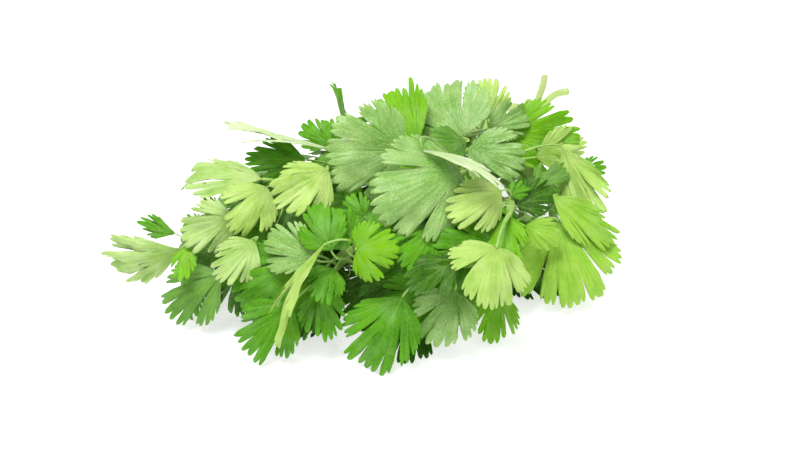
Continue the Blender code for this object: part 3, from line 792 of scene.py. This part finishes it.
def vein_map(margin, radius, across):
    """Strength of the veins, from 0 to 1, and distance in mm from the nearest one."""
    reach = np.maximum(radius / margin.size, 0.02)
    strength = np.zeros_like(radius)
    nearest = np.full_like(radius, math.inf)
    for lobe, sub, tooth in margin.veins:
        path = lobe + (sub - lobe) * np.maximum(1 - LOBE_FORK / reach, 0) / (1 - LOBE_FORK)
        path = path + (tooth - sub) * np.maximum(1 - TOOTH_FORK / reach, 0) / (1 - TOOTH_FORK)
        distance = np.abs(across - path) * margin.spread * radius
        width = VEIN_WIDTH * (1 - VEIN_TAPER * ramp(reach))
        faded = np.exp(-((distance / width) ** 2)) * (1 - VEIN_FADE * ramp(reach))
        strength = np.maximum(strength, faded)
        nearest = np.minimum(nearest, distance)
    return strength, nearest


def blade_mesh(leaf):
    """The fine blade as a closed mesh: an upper face, an underside and a thin rim."""
    margin = Margin(leaf)
    draw = random.Random(leaf.name + " relief")
    across_line = margin.rays()
    edge = margin.radius(across_line)
    inner = edge.min()
    rings, rays = INNER_RINGS if leaf.name.startswith(("inner_", "bed_")) else RINGS, len(across_line)
    share = np.linspace(0, 1, rings)[:, None]
    radius = BLADE_START + (inner - BLADE_START) * share + (edge - inner) * share**RING_CROWDING
    across = np.broadcast_to(across_line, radius.shape)
    reach = radius / leaf.length
    veins, nearest = vein_map(margin, radius, across)
    along, sideways = flatten(margin, radius, across)
    relief = small_relief(leaf, draw, veins, nearest, share, reach, across)
    relief = relief + lobe_bends(leaf, margin, reach, across)
    supple = ramp(leaf.bow, 20) * STIFF.get(leaf.short, 1)
    relief = relief + swells(draw, along, sideways) * ramp(reach, 1.5) * supple
    middle = leaf.place(np.hypot(along, sideways), np.arctan2(sideways, along) / leaf.spread, relief)
    normal = np.cross(np.gradient(middle, axis=1), np.gradient(middle, axis=0))
    normal /= np.maximum(np.linalg.norm(normal, axis=2, keepdims=True), 1e-9)
    half = (MARGIN_THICKNESS + (BLADE_THICKNESS - MARGIN_THICKNESS) * ramp(1 - share, 4)) / 2
    upper = middle + normal * half[..., None]
    under = middle - normal * (half + veins * VEIN_RIB * (1 - RIB_TAPER * ramp(reach)))[..., None]
    under[..., 2] = np.maximum(under[..., 2], LOWEST_SKIN)
    corner, quads = grid_faces(rings, rays)
    count = rings * rays
    rim = np.concatenate([corner[0, :-1], corner[:-1, -1], corner[-1, :0:-1], corner[:0:-1, 0]])
    after = np.roll(rim, -1)
    rim_faces = np.stack([after, rim, rim + count, after + count], -1)
    faces = np.concatenate([quads, (quads + count)[:, ::-1], rim_faces])
    mesh = bpy.data.meshes.new(leaf.name)
    points = (np.concatenate([upper.reshape(-1, 3), under.reshape(-1, 3)]) + SHIFT) * MM
    mesh.from_pydata(points.tolist(), [], faces.tolist())
    slots = np.zeros(len(faces), np.int32)
    slots[len(quads) : 2 * len(quads)] = 1
    mesh.polygons.foreach_set("material_index", slots)
    rayed = (across * margin.spread * leaf.length, radius * STREAK_SQUEEZE)
    flat, streak = (
        np.stack(places, -1).reshape(-1, 2) + draw.uniform(0, NOISE_RANGE)
        for places in ((along, sideways), rayed)
    )
    write_attributes(mesh, veins, share * np.ones_like(radius), draw.random(), flat, streak)
    mesh.shade_smooth()
    return mesh


def small_relief(leaf, draw, veins, nearest, share, reach, across):
    """The puckers between the veins, the sunken veins and the ruffled margin, mm."""
    quilt = (1 - np.exp(-((nearest / QUILT_WIDTH) ** 2))) * ramp(1 - share, 5) * ramp(reach, 1.6)
    phase = [draw.uniform(0, math.tau) for _ in range(3)]
    ruffle = sum(np.sin(across * turns + start) * high for (turns, high), start in zip(RUFFLES, phase))
    ruffle = RUFFLE * RUFFLED.get(leaf.short, 1) * ruffle * share**3 * ramp(reach)
    roll = ROLL_HEIGHT * leaf.length * np.sin(reach * ROLL_TURN + phase[2]) * share * (1 - share)
    return QUILT_HEIGHT * quilt - VEIN_SINK * veins + ruffle + roll


def lobe_bends(leaf, margin, reach, across):
    """How each lobe curls, cups and creases past its fork, mm."""
    if leaf.bow == 0:
        return 0
    give = STIFF.get(leaf.short, 1)
    lobe, _, off_middle = lobes_of(margin, across)
    past = np.maximum(reach - LOBE_BEND_START, 0)
    curl, cup, crease = (np.choose(lobe, bend) for bend in (margin.curl, margin.cup, margin.crease))
    curl = curl * past**2 / (1 - LOBE_BEND_START) ** 2 * give
    return curl + (cup * off_middle**2 + crease * np.abs(off_middle)) * ramp(past, 2.5) * give


def swells(draw, along, sideways):
    """Soft bumps and hollows, mm."""
    height = np.zeros_like(along)
    for _ in range(SWELLS):
        way, phase, length = jitter(draw, (0, math.tau), (0, math.tau), SWELL_LENGTHS)
        run = along * math.cos(way) + sideways * math.sin(way)
        height += np.sin(run * math.tau / length + phase) * length
    return height * SWELL_HEIGHT


def write_attributes(mesh, veins, share, tint, flat, rays_out):
    """What the leaf materials read, on the upper face and again on the underside."""
    for name, values in (("vein", veins), ("margin", share), ("tint", np.full_like(share, tint))):
        layer = mesh.attributes.new(name, "FLOAT", "POINT")
        layer.data.foreach_set("value", np.tile(values.ravel(), 2).astype(np.float32))
    for name, places in (("flat", flat), ("streak", rays_out)):
        layer = mesh.attributes.new(name, "FLOAT_VECTOR", "POINT")
        spots = np.concatenate([np.tile(places, (2, 1)), np.zeros((2 * len(places), 1))], 1)
        layer.data.foreach_set("vector", spots.astype(np.float32).ravel())


# ---- materials


class Shader:
    """A node material with short calls for its nodes."""

    def __init__(self, name):
        self.material = bpy.data.materials.new(name)
        self.material.use_nodes = True
        self.nodes = self.material.node_tree.nodes
        self.surface = self.nodes["Principled BSDF"]

    def link(self, source, target):
        if isinstance(source, (int, float)):
            target.default_value = source
        elif isinstance(source, tuple):
            target.default_value = (*source, 1)
        else:
            self.material.node_tree.links.new(source, target)

    def skin(self, **inputs):
        """Sets inputs of the surface, such as Base_Color."""
        for name, source in inputs.items():
            self.link(source, self.surface.inputs[name.replace("_", " ")])

    def node(self, kind, output, inputs=None, **settings):
        """A new node's output."""
        node = self.nodes.new("ShaderNode" + kind)
        for name, value in settings.items():
            setattr(node, name, value)
        for name, source in (inputs or {}).items():
            self.link(source, node.inputs[name])
        return node.outputs[output]

    def attribute(self, name, output="Fac"):
        return self.node("Attribute", output, attribute_name=name)

    def noise(self, vector, scale, detail=2.0, roughness=0.5):
        inputs = {"Vector": vector, "Scale": scale, "Detail": detail, "Roughness": roughness}
        return self.node("TexNoise", "Fac", inputs)

    def cell_walls(self, vector, scale):
        """0 on the walls between the cells and more inside them."""
        inputs = {"Vector": vector, "Scale": scale}
        return self.node("TexVoronoi", "Distance", inputs, feature="DISTANCE_TO_EDGE")

    def remap(self, value, low, high, new_low=0.0, new_high=1.0):
        return self.node("MapRange", "Result", dict(enumerate((value, low, high, new_low, new_high))))

    def add(self, first, second):
        return self.node("Math", "Value", {0: first, 1: second}, operation="ADD")

    def times(self, first, second):
        return self.node("Math", "Value", {0: first, 1: second}, operation="MULTIPLY")

    def mix(self, share, first, second):
        return self.node("Mix", 2, {"Factor": share, 6: first, 7: second}, data_type="RGBA")

    def bump(self, height, depth_mm):
        inputs = {"Strength": 1.0, "Distance": depth_mm * MM, "Height": height}
        return self.node("Bump", "Normal", inputs)


def leaf_material(name, light, deep, vein_colour, gloss, under=False):
    """Leaf skin: mottled green with patches of painted sheen, paler veins in a fine net, painted shade
    and highlight along streaks, on glossy leaves a painted sheen of whitish cells, and small cells that
    catch the light.
    """
    shader = Shader(name)
    add, times, mix, remap, noise = shader.add, shader.times, shader.mix, shader.remap, shader.noise
    glossy = gloss < GLOSSY
    spot = shader.attribute("flat", "Vector")
    vein = shader.attribute("vein")
    # Painted sheen: low whitish patches mixed into the colour
    sheen_patch = remap(noise(spot, 0.09, 3.0, 0.6), 0.50, 0.66, 0.0, SHEEN_PATCH_SHOW)
    sheen_patch_colour = tuple((1 + 2 * part) / 3 * SHEEN_PATCH_TONE + part * (1 - SHEEN_PATCH_TONE) for part in light)
    net = remap(shader.cell_walls(spot, 0.62), 0.0, 0.16)
    fine_net = remap(shader.cell_walls(spot, 1.1), 0.0, 0.2)
    mottle = remap(noise(spot, 0.065, 4.0, 0.6), 0.40, 0.60)
    speckle = noise(spot, 0.8, 5.0, 0.7)
    colour = mix(add(times(mottle, 0.75), times(shader.attribute("tint"), 0.25)), deep, light)
    colour = mix(sheen_patch, colour, sheen_patch_colour)
    # On glossy leaves this lightening is painted sheen; on the others it is a fine mottle of their own
    # colour
    colour = mix(remap(speckle, 0.42, 0.62, 0.0, 0.7 if glossy else 0.25), colour, light)
    streak = noise(shader.attribute("streak", "Vector"), 0.5, 3.0, 0.6)
    # Painted shade in the streaks' furrows and painted highlight on their ridges; the bump raises the
    # same streaks
    colour = mix(remap(streak, 0.38, 0.52, STREAK_SHOW, 0.0), colour, deep)
    colour = mix(remap(streak, 0.52, 0.66, 0.0, STREAK_SHOW), colour, light)
    colour = mix(remap(net, 0.0, 1.0, 0.26 if under else 0.12, 0.0), colour, vein_colour)
    # Painted sheen on glossy leaves: the net's walls go greener, so its cells show whitish
    if glossy:
        colour = mix(remap(fine_net, 0.0, 1.0, SHEEN_NET_CONTRAST, 0.0), colour, deep)
    colour = mix(times(vein, VEIN_SHOW), colour, vein_colour)
    out = shader.attribute("margin")
    colour = mix(add(remap(out, 0.45, 1.0, 0.0, 0.25), remap(out, 0.93, 1.0, 0.0, 0.3)), colour, light)
    rough = add(remap(speckle, 0.3, 0.7, gloss - 0.06, gloss + 0.08), times(vein, 0.08))
    height = add(add(times(net, 0.6), times(fine_net, 0.25)), times(speckle, 0.3))
    height = add(height, times(streak, STREAK_RELIEF))
    shader.skin(Base_Color=colour, Roughness=rough, Normal=shader.bump(height, 0.07))
    soften(shader, 0.45 if glossy else 0.15)
    return shader.material


def soften(shader, shine):
    """Leaf and stem flesh lets some light through."""
    shader.surface.inputs["Subsurface Radius"].default_value = (0.5, 1.0, 0.1)
    shader.skin(Subsurface_Weight=0.3, Subsurface_Scale=0.0006, Specular_IOR_Level=shine)


def stem_material():
    """Stem skin: yellow-green with paler streaks along it, and fine ribs."""
    shader = Shader("stem")
    place = shader.node("TexCoord", "Object")
    patch = shader.remap(shader.noise(place, 60, 3.0), 0.35, 0.65)
    streak = shader.noise(place, 900, 2.0)
    colour = shader.mix(patch, (0.20, 0.42, 0.05), (0.40, 0.60, 0.14))
    colour = shader.mix(shader.remap(streak, 0.4, 0.7, 0.0, 0.45), colour, (0.52, 0.68, 0.26))
    toward_end = shader.remap(shader.node("SeparateXYZ", "Y", {"Vector": place}), *PALE_END, 0.0, 0.55)
    colour = shader.mix(toward_end, colour, (0.62, 0.66, 0.32))
    rough = shader.remap(streak, 0.3, 0.7, 0.34, 0.5)
    shader.skin(Base_Color=colour, Roughness=rough, Normal=shader.bump(streak, 0.12))
    soften(shader, 0.4)
    return shader.material


def floor_material():
    """A plain pale floor with the slightest mottling."""
    shader = Shader("floor")
    place = shader.node("TexCoord", "Object")
    cloud = shader.noise(place, 2.0, 2.0)
    colour = shader.mix(cloud, (0.68, 0.70, 0.68), (0.72, 0.73, 0.72))
    bumps = shader.bump(shader.noise(place, 400, 2.0), 0.02)
    shader.skin(Base_Color=colour, Roughness=shader.remap(cloud, 0.3, 0.7, 0.7, 0.8), Normal=bumps)
    shader.skin(Emission_Color=(1, 1, 1), Emission_Strength=0.62)
    return shader.material


# Each tone: its slot in the record, light and deep colour above, light and deep colour below, gloss
TONES = {
    "mid": ("leaf_green", (0.11, 0.36, 0.005), (0.035, 0.19, 0.002),
        (0.19, 0.38, 0.04), (0.11, 0.28, 0.02), 0.42),
    "bright": ("leaf_bright", (0.20, 0.47, 0.004), (0.08, 0.31, 0.002),
        (0.28, 0.50, 0.03), (0.17, 0.38, 0.02), 0.42),
    # A lighter, yellower green that is painted light shining through the blade
    "fresh": ("leaf_bright", (0.36, 0.59, 0.07), (0.15, 0.41, 0.01),
        (0.38, 0.58, 0.10), (0.22, 0.44, 0.03), 0.42),
    "lime": ("leaf_lime", (0.50, 0.66, 0.20), (0.25, 0.46, 0.04),
        (0.50, 0.66, 0.22), (0.32, 0.52, 0.10), 0.42),
    "pale": ("leaf_pale", (0.50, 0.66, 0.26), (0.25, 0.46, 0.06),
        (0.52, 0.67, 0.28), (0.34, 0.54, 0.14), 0.42),
    # A whitish pale tone that is painted light: it brightens edge-on blades as if lit, with a whitish
    # sheen
    "silver": ("leaf_pale", (0.64, 0.74, 0.46), (0.46, 0.62, 0.28),
        (0.66, 0.75, 0.50), (0.50, 0.64, 0.32), 0.40),
    # The whitish light colour of this tone is painted sheen
    "sheen": ("leaf_sheen", (0.40, 0.57, 0.20), (0.08, 0.30, 0.008),
        (0.26, 0.44, 0.12), (0.14, 0.32, 0.05), 0.34),
    "dull": ("leaf_grey_green", (0.17, 0.37, 0.06), (0.06, 0.21, 0.012),
        (0.24, 0.39, 0.13), (0.13, 0.28, 0.06), 0.44),
    # The darkest tone is painted shade: leaflets darkened to stand for the shade inside and under the
    # bunch
    "dark": ("leaf_dark", (0.045, 0.17, 0.004), (0.014, 0.07, 0.002),
        (0.10, 0.25, 0.03), (0.05, 0.15, 0.015), 0.44),
}
# Blades shown in another tone than their slot's usual one; the lighter tones on the right fans and on
# the edge-on strips are painted light
SCENE_TONES = {
    "right_front_fan": "fresh", "right_front_narrow": "fresh", "right_curled": "fresh",
    "top_folded": "silver", "left_front": "dull", "left_back_edge": "silver",
    "front_left_rolled": "lime",
}
VEIN_COLOUR = (0.34, 0.54, 0.10)
UNDER_VEIN_COLOUR = (0.46, 0.62, 0.22)


def make_materials():
    """{tone: (upper, under)}"""
    made = {}
    for tone, (_, *above, light, deep, gloss) in TONES.items():
        made[tone] = (
            leaf_material("leaf_" + tone, *above, VEIN_COLOUR, gloss),
            leaf_material("leaf_" + tone + "_under", light, deep, UNDER_VEIN_COLOUR, gloss + 0.1, True),
        )
    return made


# ---- pieces


def add_piece(name, mesh, materials, node=None):
    piece = show("look_" + name, mesh)
    for material in materials:
        mesh.materials.append(material)
    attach(piece, "root")
    if node:
        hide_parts(node)


def mesh_of(thing):
    """What an object comes to with its modifiers. The object itself goes."""
    mesh = bpy.data.meshes.new_from_object(thing.evaluated_get(bpy.context.evaluated_depsgraph_get()))
    bpy.data.objects.remove(thing, do_unlink=True)
    return mesh


def tube_mesh(route, radii):
    """A round tube along the route, closed at its ends."""
    curve = bpy.data.curves.new("tube", "CURVE")
    curve.dimensions = "3D"
    curve.bevel_depth = MM
    curve.bevel_resolution = 3
    curve.use_fill_caps = True
    spline = curve.splines.new("POLY")
    spline.points.add(len(route) - 1)
    for point, place, radius in zip(spline.points, route, radii):
        point.co = (*((place + SHIFT) * MM), 1)
        point.radius = radius
    return mesh_of(show("tube", curve))


def sprig_mesh(name, stalks):
    """One skin over a sprig's stem and petioles: the tubes joined, remeshed and smoothed."""
    points, faces = [], []
    for route, radii in stalks:
        tube = tube_mesh(route, radii)
        offset = len(points)
        points += [vertex.co.copy() for vertex in tube.vertices]
        faces += [[offset + number for number in face.vertices] for face in tube.polygons]
    rough = show(name, bpy.data.meshes.new(name))
    rough.data.from_pydata(points, [], faces)
    remesh = rough.modifiers.new("skin", "REMESH")
    remesh.mode = "VOXEL"
    remesh.voxel_size = VOXEL * MM
    smooth = rough.modifiers.new("smooth", "SMOOTH")
    smooth.factor = 0.5
    smooth.iterations = 4
    skin = mesh_of(rough)
    places = np.empty(len(skin.vertices) * 3, np.float32)
    skin.vertices.foreach_get("co", places)
    places[2::3] = np.maximum(places[2::3], LOWEST_SPRIG * MM)
    skin.vertices.foreach_set("co", places)
    skin.shade_smooth()
    return skin


def packed_shift():
    """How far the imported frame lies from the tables, in mm, measured on a blade that lies flat."""
    low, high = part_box("leaf_bed_front")
    points = LEAVES[1].grid().reshape(-1, 3)
    shift = (np.array(low) + np.array(high)) / 2 / MM - (points.min(axis=0) + points.max(axis=0)) / 2
    shift[2] = 0
    return shift


# Each lamp: its name, place and size, m, and power, W
LAMPS = [("key", (-0.15, -0.10, 0.85), 0.45, 7.2), ("fill", (0.5, -0.6, 0.5), 0.5, 1.2)]
SURROUNDINGS = 0.50


def set_stage():
    """Pale floor, white surroundings, two soft lamps and the camera."""
    bpy.ops.mesh.primitive_plane_add(size=6)
    floor = bpy.context.object
    floor.name = "floor"
    floor.data.materials.append(floor_material())
    scene = bpy.context.scene
    scene.world = bpy.data.worlds.new("surroundings")
    scene.world.use_nodes = True
    backdrop = scene.world.node_tree.nodes["Background"]
    backdrop.inputs["Color"].default_value = (1, 1, 1, 1)
    backdrop.inputs["Strength"].default_value = SURROUNDINGS
    for name, place, size, power in LAMPS:
        lamp = bpy.data.lights.new(name, "AREA")
        lamp.size = size
        lamp.energy = power
        holder = show(name, lamp)
        holder.location = place
        holder.rotation_euler = (-Vector(place)).to_track_quat("-Z", "Y").to_euler()
    camera = show("camera", bpy.data.cameras.new("camera"))
    camera.data.lens = 85
    camera.data.sensor_width = 36
    camera.location = (UP * LOOK_HEIGHT + SHIFT + EYE_WAY * EYE_DISTANCE) * MM
    camera.rotation_euler = (math.pi / 2 - ELEVATION, 0, 0)
    scene.camera = camera
    scene.view_settings.view_transform = "Standard"


SHIFT = packed_shift()
STALKS, FOUND = layout()
MATERIALS = make_materials()
STEM = stem_material()
for leaf in LEAVES + FOUND:
    node = leaf.name if leaf.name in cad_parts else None
    look = SCENE_TONES.get(leaf.short, leaf.colour)
    add_piece(leaf.name, blade_mesh(leaf), MATERIALS[look], node)
for sprig, sprig_stalks in STALKS.items():
    add_piece(sprig, sprig_mesh(sprig, sprig_stalks), [STEM], sprig)
set_stage()
